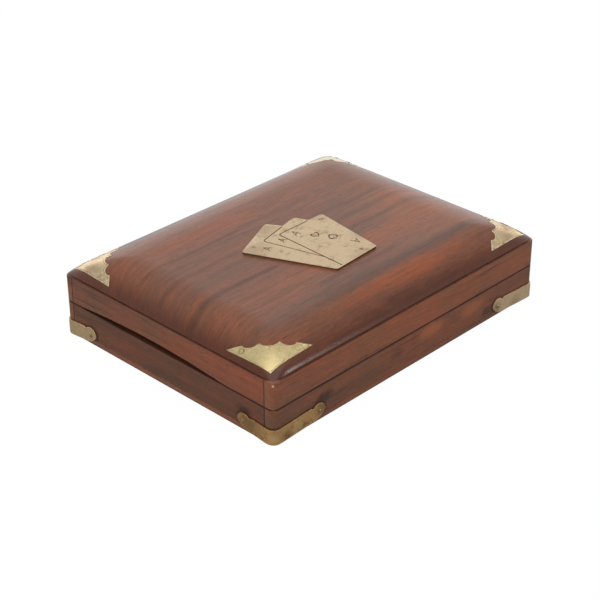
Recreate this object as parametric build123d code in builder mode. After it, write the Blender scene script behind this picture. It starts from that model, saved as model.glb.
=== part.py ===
from build123d import *
import os

os.makedirs("parts", exist_ok=True)

# Playing card box: a shallow hinged box in streaked rosewood with a pillow-shaped
# lid, brass mounts round the base corners, inlaid brass corners and a brass fan of
# cards on the lid. +Z is up, the long side runs along X, the front faces -Y, and
# the origin is the middle of the underside.

# ---- driving dimensions, in millimetres and degrees ----
box_length = 166.0
box_depth = 127.0
corner_radius = 3.0          # rounding of the four upright edges

wall = 5.0                   # front, back and end walls
bottom_board = 2.5
base_height = 16.0           # underside to the top edge of the base
seam_gap = 0.3               # light gap between base and closed lid
lid_wall_height = 12.7

end_bow = 2.4                # rise of the warped left end of the lid
end_bow_span = 92.0
end_bow_shift = 9.0          # middle of the warp, towards the back

dome_rise = 7.8              # top board, glue line to crown
dome_shoulder = 24.0         # width of the curved shoulder, seen from above
dome_edge_inset = 0.5        # the top board stands back from the walls
dome_lip = 1.1               # glue line to the end of the shoulder's curve
dome_roll = 3.0              # outermost strip, rolled over by hand
dome_roll_drop = 0.46
dome_blend = 3.0             # how softly two shoulders run together at a corner
surface_tolerance = 0.01
station_start = 1.0          # the surface is worked out from outside the edge inwards
station_step = 0.75
station_growth = 0.17

card_width = 63.5            # a standard playing card
card_length = 89.0
card_clearance = 3.0         # finger room along a deck
divider_thickness = 4.0
divider_below_rim = 1.0
divider_round = 1.0
felt_thickness = 1.0
felt_clearance = 0.3

inlay_leg = 24.0
inlay_thickness = 1.2
inlay_proud = 0.12           # above the wood
inlay_first_point = (19.3, 4.1)       # along one leg, out from it
inlay_outer_dip = (15.7, 4.5)
inlay_second_point = (14.0, 8.3)
inlay_middle_dip = 9.3       # from both legs
inlay_places = {             # corner of the brass to the two sides of the lid, and its turn
    "front_left": (3.1, 4.3, 1.6),
    "front_right": (3.4, 3.6, -0.7),
    "back_left": (4.0, 3.0, 2.8),
    "back_right": (4.1, 3.4, 0.0),
}
inlay_pin_radius = 0.9
inlay_pin_sides = 12         # filed flush, so nearly round
inlay_pin_depth = 3.0
inlay_pin_proud = 0.2
inlay_pin_from_tip = 6.5     # along the leg
inlay_pin_from_edge = 1.9

mount_thickness = 0.6
mount_height = 7.0           # at the fold
mount_long_arm = 29.0
mount_short_arm = 20.0
mount_flat = 4.0             # length of an arm before it starts to climb
mount_strip_top = (8.2, 7.8)          # outline points: back from the tip of the arm, height
mount_notch = (6.9, 7.1)
mount_lobe_top = (3.2, 8.4)
mount_tip = (0.0, 5.0)
mount_lobe_low = (2.6, 2.2)
mount_strip_low = (7.4, 0.9)
mount_nail = (3.4, 4.5)
nail_head_radius = 0.95
nail_head_height = 0.45
nail_head_taper = 40.0
nail_shank_radius = 0.5
nail_length = 3.4
shank_sides = 8              # nails and screws, under the surface
head_sides = 16              # their heads

fan_thickness = 0.9
fan_corner = 1.6
# corners of each card from its upper left, going round; what another card covers is left plain
fan_front_card = ((-5.8, 10.2), (22.1, 10.2), (14.6, -40.0), (-7.2, -40.0))
fan_middle_card = ((-14.9, 10.7), (10.7, 16.7), (14.9, 7.0), (-6.0, -21.0))
fan_rear_card = ((-28.2, 10.0), (-2.6, 21.4), (2.0, 13.8), (-2.0, -40.0), (-6.0, -40.0))
fan_foot = (-10.5, -29.8)    # a point of the line that trims the fan
fan_foot_tilt = 3.7
fan_line_width = 0.5         # engraved lines between the cards
fan_line_depth = 0.25
fan_rim = 0.8
fan_bed = 0.1                # let into the wood

hinge_length = 22.0
hinge_from_end = 32.5        # middle of a hinge to the end of the box
leaf_thickness = 0.9
leaf_depth = 3.9
leaf_gap = 0.2               # between the closed leaves
knuckle_radius = 1.6
knuckle_gap = 0.2
knuckle_to_wall = 0.1
hinge_pin_radius = 0.8
hinge_running_clearance = 0.05
screw_head_radius = 1.15
screw_head_height = 0.6
screw_head_taper = 40.0
screw_shank_radius = 0.6
screw_length = 5.0
screw_spacing = 13.0

# ---- sizes that follow from them ----
half_length = box_length / 2
half_depth = box_depth / 2
inner_half_length = half_length - wall
inner_half_depth = half_depth - wall
lid_bottom = base_height + seam_gap
step_height = lid_bottom + lid_wall_height
crown_height = step_height + dome_rise

well_depth = card_length + card_clearance
well_width = inner_half_length - divider_thickness / 2
tray_depth = 2 * inner_half_depth - well_depth - divider_thickness
divider_height = base_height - divider_below_rim - bottom_board

hinge_axis_y = half_depth + knuckle_radius + knuckle_to_wall
hinge_axis_z = base_height + seam_gap / 2
knuckle_length = (hinge_length - 2 * knuckle_gap) / 3
screw_y = half_depth - leaf_depth / 2

pieces = []


def save(piece, label):
    """Label one finished piece and write it to its own file."""
    piece.label = label
    export_step(piece, f"parts/{label}.step")
    pieces.append(piece)


def at_corner(piece, x_side, y_side):
    """The front left piece, mirrored to another corner."""
    if x_side > 0:
        piece = mirror(piece, about=Plane.YZ, mode=Mode.PRIVATE)
    if y_side > 0:
        piece = mirror(piece, about=Plane.XZ, mode=Mode.PRIVATE)
    return piece


corners = {
    "front_left": (-1, -1),
    "front_right": (1, -1),
    "back_left": (-1, 1),
    "back_right": (1, 1),
}

# ---- brass mount folded round the front left corner of the base ----
front_plane = Plane((-half_length, -half_depth - mount_thickness, 0), (1, 0, 0), (0, -1, 0))
side_plane = Plane((-half_length - mount_thickness, -half_depth, 0), (0, 1, 0), (1, 0, 0))


def mount_arm(plane, arm):
    """One arm seen square on: climbing strip, nick and rounded lobe."""

    def on_arm(point):
        return (arm - point[0], point[1])

    with BuildSketch(plane) as arm_face:
        with BuildLine():
            Polyline(
                on_arm(mount_notch),
                on_arm(mount_strip_top),
                (mount_flat, mount_height),
                (-mount_flat, mount_height),
                (-mount_flat, 0),
                (mount_flat, 0),
                on_arm(mount_strip_low),
            )
            ThreePointArc(on_arm(mount_strip_low), on_arm(mount_lobe_low), on_arm(mount_tip))
            ThreePointArc(on_arm(mount_tip), on_arm(mount_lobe_top), on_arm(mount_notch))
        make_face()
    return arm_face.sketch


with BuildPart() as mount_arms:
    fold_depth = corner_radius + mount_thickness
    extrude(mount_arm(front_plane, mount_long_arm), amount=-fold_depth)
    extrude(mount_arm(side_plane, mount_short_arm), amount=fold_depth)

with BuildPart() as corner_mount:
    with BuildSketch():
        RectangleRounded(
            box_length + 2 * mount_thickness,
            box_depth + 2 * mount_thickness,
            corner_radius + mount_thickness,
        )
        RectangleRounded(box_length, box_depth, corner_radius, mode=Mode.SUBTRACT)
    extrude(amount=2 * mount_height)
    add(mount_arms.part, mode=Mode.INTERSECT)

# ---- brass nails: eight-sided shank under a low faceted head ----
with BuildPart() as nail:
    with BuildSketch(Plane.XY.offset(-nail_length)):
        RegularPolygon(nail_shank_radius, shank_sides)
    extrude(amount=nail_length)
    with BuildSketch():
        RegularPolygon(nail_head_radius, head_sides)
    extrude(amount=nail_head_height, taper=nail_head_taper)

nail_back, nail_height = mount_nail
long_nail_x = -half_length + mount_long_arm - nail_back
short_nail_y = -half_depth + mount_short_arm - nail_back
nail_planes = [
    Plane((long_nail_x, -half_depth - mount_thickness, nail_height), z_dir=(0, -1, 0)),
    Plane((-half_length - mount_thickness, short_nail_y, nail_height), z_dir=(-1, 0, 0)),
]
with BuildPart() as corner_nails:
    for nail_plane in nail_planes:
        add(nail.part.moved(nail_plane.location))
with BuildPart() as mount_nails:
    for x_side, y_side in corners.values():
        add(at_corner(corner_nails.part, x_side, y_side))
save(mount_nails.part, "mount_nails")

for corner, (x_side, y_side) in corners.items():
    with BuildPart() as mount:
        add(at_corner(corner_mount.part, x_side, y_side))
        add(mount_nails.part, mode=Mode.SUBTRACT)
    save(mount.part, f"base_mount_{corner}")


# ---- hinges: leaves let into the seam, barrel behind the back wall ----
hinge_x = half_length - hinge_from_end
hinge_centres = {"left": -hinge_x, "right": hinge_x}

with BuildPart() as screw:
    with BuildSketch(Plane.XY.offset(-screw_length)):
        RegularPolygon(screw_shank_radius, shank_sides)
    extrude(amount=screw_length)
    with BuildSketch():
        RegularPolygon(screw_head_radius, head_sides)
    extrude(amount=-screw_head_height, taper=screw_head_taper)


def hinge_screws(side):
    """The countersunk screws of both hinges. Side -1 is in the base, +1 in the lid."""
    upright = screw.part if side < 0 else mirror(screw.part, about=Plane.XY)
    head_height = hinge_axis_z + side * leaf_gap / 2
    with BuildPart() as screws:
        for centre in hinge_centres.values():
            for offset in (-screw_spacing / 2, screw_spacing / 2):
                add(upright.moved(Location((centre + offset, screw_y, head_height))))
    return screws.part


def hinge_leaf(centre, side, screws):
    """A leaf with its knuckles. The base has the two outer ones, the lid the middle one."""
    leaf_middle = hinge_axis_z + side * (leaf_gap + leaf_thickness) / 2
    pitch = knuckle_length + knuckle_gap
    knuckles = (-pitch, pitch) if side < 0 else (0,)
    bore = hinge_pin_radius if side < 0 else hinge_pin_radius + hinge_running_clearance
    with BuildPart() as leaf:
        with Locations((centre, half_depth - leaf_depth / 2, leaf_middle)):
            Box(hinge_length, leaf_depth, leaf_thickness)
        for knuckle in knuckles:
            with Locations((centre + knuckle, (half_depth + hinge_axis_y) / 2, leaf_middle)):
                Box(knuckle_length, hinge_axis_y - half_depth, leaf_thickness)
            with Locations((centre + knuckle, hinge_axis_y, hinge_axis_z)):
                Cylinder(knuckle_radius, knuckle_length, rotation=(0, 90, 0))
        with Locations((centre, hinge_axis_y, hinge_axis_z)):
            Cylinder(bore, 2 * hinge_length, rotation=(0, 90, 0), mode=Mode.SUBTRACT)
        add(screws, mode=Mode.SUBTRACT)
    return leaf.part


base_screws = hinge_screws(-1)
lid_screws = hinge_screws(1)
save(base_screws, "hinge_base_screws")
save(lid_screws, "hinge_lid_screws")
for name, centre in hinge_centres.items():
    save(hinge_leaf(centre, -1, base_screws), f"hinge_{name}_base_leaf")
    save(hinge_leaf(centre, 1, lid_screws), f"hinge_{name}_lid_leaf")

with BuildPart() as hinge_pins:
    with Locations(*[(x, hinge_axis_y, hinge_axis_z) for x in hinge_centres.values()]):
        Cylinder(hinge_pin_radius, hinge_length, rotation=(0, 90, 0))
save(hinge_pins.part, "hinge_pins")


# ---- pillow shape of the lid: long shoulders that run together softly at the corners ----
shoulder_reach = dome_shoulder - dome_edge_inset
shoulder_fall = dome_rise - dome_lip
shoulder_radius = (shoulder_reach**2 + shoulder_fall**2) / (2 * shoulder_fall)


def shoulder_drop(inset):
    """How far the surface lies below the crown, this far in from one side."""
    run = max(0.0, dome_shoulder - inset)
    roll = max(0.0, (dome_roll - inset) / (dome_roll - dome_edge_inset))
    return shoulder_radius - (shoulder_radius**2 - run**2) ** 0.5 + dome_roll_drop * roll**2


def surface_height(x, y):
    """Height of the lid over a point, its two shoulders blended."""
    from_end = shoulder_drop(half_length - abs(x)) ** dome_blend
    from_side = shoulder_drop(half_depth - abs(y)) ** dome_blend
    return crown_height - (from_end + from_side) ** (1 / dome_blend)


def stations(half_width):
    """Places across the lid where its height is worked out, closest at the edges."""
    insets = [-station_start]
    while insets[-1] < half_width / 1.5:
        insets.append(insets[-1] + station_step + station_growth * len(insets))
    return [-half_width + i for i in insets] + [0.0] + [half_width - i for i in insets[::-1]]


surface_points = [
    [(x, y, surface_height(x, y)) for y in stations(half_depth)] for x in stations(half_length)
]
lid_surface = Face.make_surface_from_array_of_points(
    surface_points, tol=surface_tolerance, min_deg=3, max_deg=3
)

under_surface = extrude(lid_surface, amount=4 * dome_rise, dir=(0, 0, -1), mode=Mode.PRIVATE)

with BuildPart() as pillow:
    with BuildSketch(Plane.XY.offset(step_height)):
        RectangleRounded(
            box_length - 2 * dome_edge_inset,
            box_depth - 2 * dome_edge_inset,
            corner_radius - dome_edge_inset,
        )
    extrude(amount=2 * dome_rise)
    add(under_surface, mode=Mode.INTERSECT)


def pillow_at(height):
    """The pillow shape moved up or down, to cut pieces that follow its surface."""
    return pillow.part.moved(Location((0, 0, height)))


# ---- walls of the base and of the lid ----
def long_wall(y_side, low, high):
    """A front or back wall: full length, its upright outer edges rounded."""
    with BuildPart() as wall_piece:
        with BuildSketch(Plane.XY.offset(low)):
            RectangleRounded(box_length, box_depth, corner_radius)
            with Locations((0, -y_side * wall)):
                Rectangle(box_length, box_depth, mode=Mode.SUBTRACT)
        extrude(amount=high - low)
    return wall_piece.part


def end_wall(x_side, low, high):
    """A left or right wall, let in between the long walls."""
    with BuildPart() as wall_piece:
        with BuildSketch(Plane.XY.offset(low)):
            with Locations((x_side * (half_length - wall / 2), 0)):
                Rectangle(wall, 2 * inner_half_depth)
        extrude(amount=high - low)
    return wall_piece.part


def with_holes(blank, fittings):
    """A wall with the holes that its nails or screws sit in."""
    with BuildPart() as drilled:
        add(blank)
        add(fittings, mode=Mode.SUBTRACT)
    return drilled.part


def with_mortises(blank):
    """A back wall cut for the hinge leaves."""
    mortise_height = leaf_gap + 2 * leaf_thickness
    with BuildPart() as mortised:
        add(blank)
        with Locations(*[(x, half_depth, hinge_axis_z) for x in hinge_centres.values()]):
            Box(hinge_length, 2 * leaf_depth, mortise_height, mode=Mode.SUBTRACT)
    return mortised.part


def worn_down(blank):
    """A lid wall whose top is planed off with the board where two shoulders meet."""
    with BuildPart() as planed:
        add(blank)
        add(under_surface, mode=Mode.INTERSECT)
    return planed.part


nails = mount_nails.part
base_back = with_mortises(long_wall(1, bottom_board, base_height))
save(with_holes(with_holes(base_back, nails), base_screws), "base_back_wall")
save(with_holes(long_wall(-1, bottom_board, base_height), nails), "base_front_wall")
save(with_holes(end_wall(-1, bottom_board, base_height), nails), "base_left_wall")
save(with_holes(end_wall(1, bottom_board, base_height), nails), "base_right_wall")

save(worn_down(long_wall(-1, lid_bottom, step_height)), "lid_front_wall")
lid_back = with_mortises(worn_down(long_wall(1, lid_bottom, step_height)))
save(with_holes(lid_back, lid_screws), "lid_back_wall")
save(worn_down(end_wall(1, lid_bottom, step_height)), "lid_right_wall")

# the left end of the lid has warped: its lower edge bows up off the base
with BuildPart() as lid_left_wall:
    add(worn_down(end_wall(-1, lid_bottom, step_height)))
    bow_start = (end_bow_shift - end_bow_span / 2, lid_bottom)
    bow_end = (end_bow_shift + end_bow_span / 2, lid_bottom)
    with BuildSketch(Plane.YZ):
        with BuildLine():
            ThreePointArc(bow_start, (end_bow_shift, lid_bottom + end_bow), bow_end)
            Line(bow_end, bow_start)
        make_face()
    extrude(amount=-box_length, mode=Mode.SUBTRACT)
save(lid_left_wall.part, "lid_left_wall")

# ---- bottom board, dividers and felt in the base ----
with BuildPart() as base_bottom:
    with BuildSketch():
        RectangleRounded(box_length, box_depth, corner_radius)
    extrude(amount=bottom_board)
save(base_bottom.part, "base_bottom")


def divider(centre, size, long_axis):
    """A divider standing on the bottom board, its top edges eased."""
    with BuildPart() as strip:
        with BuildSketch(Plane.XY.offset(bottom_board)):
            with Locations(centre):
                Rectangle(*size)
        extrude(amount=divider_height)
        top_edges = strip.faces().sort_by(Axis.Z)[-1].edges().filter_by(long_axis)
        fillet(top_edges, radius=divider_round)
    return strip.part


def felt_pad(low, centre, size):
    """Felt cut a little smaller than the space it lies in."""
    with BuildPart() as felt:
        with BuildSketch(Plane.XY.offset(low)):
            with Locations(centre):
                Rectangle(size[0] - 2 * felt_clearance, size[1] - 2 * felt_clearance)
        extrude(amount=felt_thickness)
    return felt.part


well_x = (divider_thickness + well_width) / 2
well_y = inner_half_depth - well_depth / 2
rail_y = inner_half_depth - well_depth - divider_thickness / 2
tray_y = -inner_half_depth + tray_depth / 2
inside = (2 * inner_half_length, 2 * inner_half_depth)

save(divider((0, rail_y), (inside[0], divider_thickness), Axis.X), "tray_rail")
save(divider((0, well_y), (divider_thickness, well_depth), Axis.Y), "deck_divider")
save(felt_pad(bottom_board, (-well_x, well_y), (well_width, well_depth)), "felt_left_well")
save(felt_pad(bottom_board, (well_x, well_y), (well_width, well_depth)), "felt_right_well")
save(felt_pad(bottom_board, (0, tray_y), (inside[0], tray_depth)), "felt_tray")
save(felt_pad(step_height - felt_thickness, (0, 0), inside), "felt_lid")

# ---- brass inlays in the corners of the lid, and their pins ----
with BuildSketch() as inlay_outline:
    with BuildLine():
        Line((0, 0), (inlay_leg, 0))
        Line((inlay_leg, 0), inlay_first_point)
        ThreePointArc(inlay_first_point, inlay_outer_dip, inlay_second_point)
        ThreePointArc(inlay_second_point, (inlay_middle_dip,) * 2, inlay_second_point[::-1])
        ThreePointArc(inlay_second_point[::-1], inlay_outer_dip[::-1], inlay_first_point[::-1])
        Line(inlay_first_point[::-1], (0, inlay_leg))
        Line((0, inlay_leg), (0, 0))
    make_face()

pin_run = inlay_leg - inlay_pin_from_tip
with BuildSketch() as inlay_pin_outline:
    with Locations((pin_run, inlay_pin_from_edge), (inlay_pin_from_edge, pin_run)):
        RegularPolygon(inlay_pin_radius, inlay_pin_sides)


def inlaid(outline, corner, top, bottom):
    """An outline cut out of the lid at one corner, between two heights over its surface."""
    from_end, from_side, turn = inlay_places[corner]
    place = Location((from_end - half_length, from_side - half_depth, step_height), (0, 0, turn))
    with BuildPart() as piece:
        extrude(outline.moved(place), amount=2 * dome_rise)
        add(pillow_at(top), mode=Mode.INTERSECT)
        add(pillow_at(bottom), mode=Mode.SUBTRACT)
    return at_corner(piece.part, *corners[corner])


inlay_blanks = {
    corner: inlaid(inlay_outline.sketch, corner, inlay_proud, inlay_proud - inlay_thickness)
    for corner in corners
}

with BuildPart() as inlay_pins:
    for corner in corners:
        add(inlaid(inlay_pin_outline.sketch, corner, inlay_pin_proud, -inlay_pin_depth))
save(inlay_pins.part, "inlay_pins")

for corner, blank in inlay_blanks.items():
    with BuildPart() as inlay:
        add(blank)
        add(inlay_pins.part, mode=Mode.SUBTRACT)
    save(inlay.part, f"lid_inlay_{corner}")

# ---- brass plate cut as a fan of three cards ----
def fan_card(card):
    """One card of the fan, its two upper corners rounded."""
    with BuildSketch() as card_face:
        with BuildLine():
            Polyline(*card, close=True)
        make_face()
        fillet([card_face.vertices().sort_by_distance(corner)[0] for corner in card[:2]], radius=fan_corner)
    return card_face.sketch


def fan_edge(card):
    """A thin line just inside the edge of one card."""
    with BuildSketch() as line:
        add(fan_card(card))
        offset(amount=-fan_line_width, mode=Mode.SUBTRACT)
    return line.sketch


with BuildSketch() as fan_foot_cut:
    with Locations(Location((*fan_foot, 0), (0, 0, fan_foot_tilt))):
        with Locations((0, -box_depth / 2)):
            Rectangle(box_length, box_depth)

with BuildSketch() as fan_outline:
    for card in (fan_rear_card, fan_middle_card, fan_front_card):
        add(fan_card(card))
    add(fan_foot_cut.sketch, mode=Mode.SUBTRACT)
    fillet(fan_outline.vertices().sort_by(Axis.Y)[:2], radius=fan_corner)

# engraved lines where one card lies over another, stopping short of the rim
with BuildSketch() as fan_lines:
    add(fan_edge(fan_middle_card))
    add(fan_card(fan_front_card), mode=Mode.SUBTRACT)
    add(fan_edge(fan_front_card))
    add(offset(fan_outline.sketch, amount=-fan_rim, mode=Mode.PRIVATE), mode=Mode.INTERSECT)

with BuildPart() as card_fan_plate:
    plate_top = crown_height + fan_thickness
    extrude(fan_outline.sketch.moved(Location((0, 0, plate_top))), amount=-fan_thickness - fan_bed)
    extrude(
        fan_lines.sketch.moved(Location((0, 0, plate_top))),
        amount=-fan_line_depth,
        mode=Mode.SUBTRACT,
    )
save(card_fan_plate.part, "card_fan_plate")

# ---- top board, with pockets for the brass ----
with BuildPart() as lid_top_board:
    add(pillow.part)
    for blank in inlay_blanks.values():
        add(blank, mode=Mode.SUBTRACT)
    add(inlay_pins.part, mode=Mode.SUBTRACT)
    add(card_fan_plate.part, mode=Mode.SUBTRACT)
save(lid_top_board.part, "lid_top_board")

print(f"{len(pieces)} pieces, crown at {crown_height:.1f} mm, tray {tray_depth:.1f} mm deep")
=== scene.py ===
import math

import bmesh
import bpy
from mathutils import Matrix, Vector, noise


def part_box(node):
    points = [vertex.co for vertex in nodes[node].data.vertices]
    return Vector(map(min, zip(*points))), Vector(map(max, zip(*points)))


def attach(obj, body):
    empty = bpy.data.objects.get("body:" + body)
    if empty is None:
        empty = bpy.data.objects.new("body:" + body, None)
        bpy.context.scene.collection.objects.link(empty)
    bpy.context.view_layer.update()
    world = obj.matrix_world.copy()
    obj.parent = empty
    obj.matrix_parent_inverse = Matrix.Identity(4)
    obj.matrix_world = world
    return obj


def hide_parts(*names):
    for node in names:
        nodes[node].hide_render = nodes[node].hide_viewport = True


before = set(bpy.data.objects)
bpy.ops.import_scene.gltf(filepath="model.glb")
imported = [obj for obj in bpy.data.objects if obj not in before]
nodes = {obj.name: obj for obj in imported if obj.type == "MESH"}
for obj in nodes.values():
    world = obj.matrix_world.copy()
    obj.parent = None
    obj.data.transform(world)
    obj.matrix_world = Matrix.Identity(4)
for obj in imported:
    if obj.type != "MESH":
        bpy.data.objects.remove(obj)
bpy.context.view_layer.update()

mm = 0.001
boxSize = {"halfLength": 83.0, "halfDepth": 63.5}   # millimetres, to the outer faces of the walls
print("frame loaded:", len(nodes), "nodes")


def newObject(name, data):
    made = bpy.data.objects.new(name, data)
    bpy.context.scene.collection.objects.link(made)
    return made


# camera
cameraLook = {
    "azimuth": -45.83,      # degrees, 0 looks along +Y
    "elevation": 30.03,
    "roll": -0.21,
    "target": (5.75 * mm, 8.08 * mm, 0.65 * mm),
    "distance": 0.7219,
    "sensor": 36,
    "lens": 95.72,
}


def placeCamera(look):
    azimuth, elevation, roll = (math.radians(look[k]) for k in ("azimuth", "elevation", "roll"))
    back = Vector((
        math.sin(azimuth) * math.cos(elevation),
        -math.cos(azimuth) * math.cos(elevation),
        math.sin(elevation),
    ))
    right = (-back).cross(Vector((0, 0, 1))).normalized()
    up = right.cross(-back)
    rolledRight = right * math.cos(roll) + up * math.sin(roll)
    rolledUp = up * math.cos(roll) - right * math.sin(roll)
    data = bpy.data.cameras.new("camera")
    data.sensor_width = look["sensor"]
    data.lens = look["lens"]
    data.clip_start = 10 * mm
    camera = newObject("camera", data)
    turn = Matrix((rolledRight, rolledUp, back)).transposed().to_4x4()
    camera.matrix_world = Matrix.Translation(Vector(look["target"]) + back * look["distance"]) @ turn
    bpy.context.scene.camera = camera


placeCamera(cameraLook)
bpy.context.scene.view_settings.view_transform = "Standard"


# shader helpers: each adds a node to the tree that its values belong to
def treeOf(*values):
    return next(value.id_data for value in values if isinstance(value, bpy.types.NodeSocket))


def connect(value, socket):
    if isinstance(value, bpy.types.NodeSocket):
        socket.id_data.links.new(value, socket)
    else:
        socket.default_value = value


def put(tree, kind, settings=None, inputs=None):
    node = tree.nodes.new("ShaderNode" + kind)
    for name, value in (settings or {}).items():
        setattr(node, name, value)
    for name, value in (inputs or {}).items():
        connect(value, node.inputs[name])
    return node


def sumBy(operation):
    def step(*values):
        inputs = dict(enumerate(values))
        return put(treeOf(*values), "Math", {"operation": operation}, inputs).outputs[0]
    return step


plus, less, times, over = (sumBy(kind) for kind in ("ADD", "SUBTRACT", "MULTIPLY", "DIVIDE"))
timesPlus, larger, smaller = (sumBy(kind) for kind in ("MULTIPLY_ADD", "MAXIMUM", "MINIMUM"))
sizeOf = sumBy("ABSOLUTE")


def vectorCalc(operation, *values):
    node = put(treeOf(*values), "VectorMath", {"operation": operation}, dict(enumerate(values)))
    return node.outputs[1] if operation in ("LENGTH", "DOT_PRODUCT") else node.outputs[0]


def remap(value, low, high, newLow=0.0, newHigh=1.0, smooth=False):
    settings = {"interpolation_type": "SMOOTHSTEP" if smooth else "LINEAR"}
    inputs = {0: value, 1: low, 2: high, 3: newLow, 4: newHigh}
    return put(value.id_data, "MapRange", settings, inputs).outputs[0]


def fade(value, none, full, amount=1.0):
    # a soft step: nothing at the first value, the whole amount at the second
    return remap(value, none, full, 0.0, amount, True)


def centred(pattern, amount, base=0.0):
    # a pattern that swings about its middle, added to a base
    return timesPlus(less(pattern, 0.5), amount, base)


def blendColour(amount, first, second, kind="MIX"):
    tree = treeOf(amount, first, second)
    inputs = {0: amount, 6: first, 7: second}
    return put(tree, "Mix", {"data_type": "RGBA", "blend_type": kind}, inputs).outputs[2]


def multiplied(colour, by):
    return blendColour(1.0, colour, by, "MULTIPLY")


def paintOver(mask, amount, colour, paint):
    return blendColour(times(mask, amount), colour, paint)


def cloud(vector, scale, detail=2.0, roughness=0.5):
    settings = {"Vector": vector, "Scale": scale, "Detail": detail, "Roughness": roughness}
    return put(vector.id_data, "TexNoise", {"noise_dimensions": "3D"}, settings).outputs["Fac"]


def stretchedCloud(vector, stretch, detail=2.0, roughness=0.5):
    return cloud(vectorCalc("MULTIPLY", vector, stretch), 1.0, detail, roughness)


def splitVector(vector):
    return put(vector.id_data, "SeparateXYZ", None, {0: vector}).outputs


def joinVector(*parts):
    return put(treeOf(*parts), "CombineXYZ", None, dict(enumerate(parts))).outputs[0]


def grey(level):
    return joinVector(level, level, level)


def newGroup(name, numbers, vectors=(), colours=(), outputs=("Mask",)):
    # a group, what it is given in that order, and its outputs, which are numbers, but for a Colour
    group = bpy.data.node_groups.new(name, "ShaderNodeTree")
    kinds = ((numbers, "Float"), (vectors, "Vector"), (colours, "Color"))
    inputs = [(label, kind) for labels, kind in kinds for label in labels]
    for label, kind in inputs:
        group.interface.new_socket(label, in_out="INPUT", socket_type="NodeSocket" + kind)
    for label in outputs:
        kind = "Color" if label == "Colour" else "Float"
        group.interface.new_socket(label, in_out="OUTPUT", socket_type="NodeSocket" + kind)
    entry = group.nodes.new("NodeGroupInput")
    leave = group.nodes.new("NodeGroupOutput")
    return group, entry.outputs[:len(inputs)], leave.inputs


def place(group, inputs):
    node = treeOf(*inputs.values()).nodes.new("ShaderNodeGroup")
    node.node_tree = group
    for name, value in inputs.items():
        connect(value, node.inputs[name])
    return node.outputs


def emptyTree(owner):
    owner.use_nodes = True
    owner.node_tree.nodes.clear()
    return owner.node_tree


def newMaterial(name):
    # a material, its shader, and the place on the piece in millimetres
    material = bpy.data.materials.new(name)
    tree = emptyTree(material)
    shader = put(tree, "BsdfPrincipled")
    put(tree, "OutputMaterial", None, {"Surface": shader.outputs[0]})
    coordinates = put(tree, "TexCoord").outputs["Object"]
    position = put(tree, "VectorMath", {"operation": "SCALE"}, {0: coordinates, 3: 1 / mm}).outputs[0]
    return material, shader, position


def coatShader(shader, colour, roughness, height, relief, strength=0.6, **more):
    settings = {"Strength": strength, "Distance": relief, "Height": height}
    bump = put(shader.id_data, "Bump", None, settings).outputs[0]
    connect(colour, shader.inputs["Base Color"])
    connect(roughness, shader.inputs["Roughness"])
    connect(bump, shader.inputs["Normal"])
    for name, value in more.items():
        connect(value, shader.inputs[name.replace("_", " ")])


# shader groups
grainLook = {
    "noise": {
        # how fast it changes per millimetre along, across and through the wood, then detail and roughness
        "drift": ((0.011, 0.02, 0.02), 1.0, 0.5),
        "tremor": ((0.06, 0.08, 0.08), 2.0, 0.5),
        "broad": ((0.008, 0.075, 0.06), 2.0, 0.5),
        "band": ((0.014, 0.3, 0.2), 3.0, 0.6),
        "vein": ((0.06, 1.0, 0.8), 3.0, 0.65),
        "fibre": ((0.16, 3.0, 2.4), 3.0, 0.65),
        "fleck": ((0.13, 1.5, 1.2), 3.0, 0.7),
        "pore": ((0.35, 3.8, 3.0), 1.0, 0.5),
    },
    "through": 0.3,                 # share of the depth that still changes the figure
    "sway": (8.0, 1.6),             # millimetres, slow drift and quick tremor of the layers
    "hueSwing": (2.5, 0.8),         # broad figure, bands
    "flecks": (0.48, 0.70, 0.7),    # none at, all at, amount
    "fleckHue": (0.1, 0.9, 0.25, 1.0),
    "streaks": (0.46, 0.28, 1.0),
    "hairs": (0.42, 0.26, 0.55),
    "texture": (0.85, 0.9),         # fibres, veins
    "level": 0.98,
    "pores": (0.63, 0.74, 0.8),
    "glossLoss": (0.5, 0.8),        # over fibres, in pores
    "fibreHeight": 0.4,
}


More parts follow.
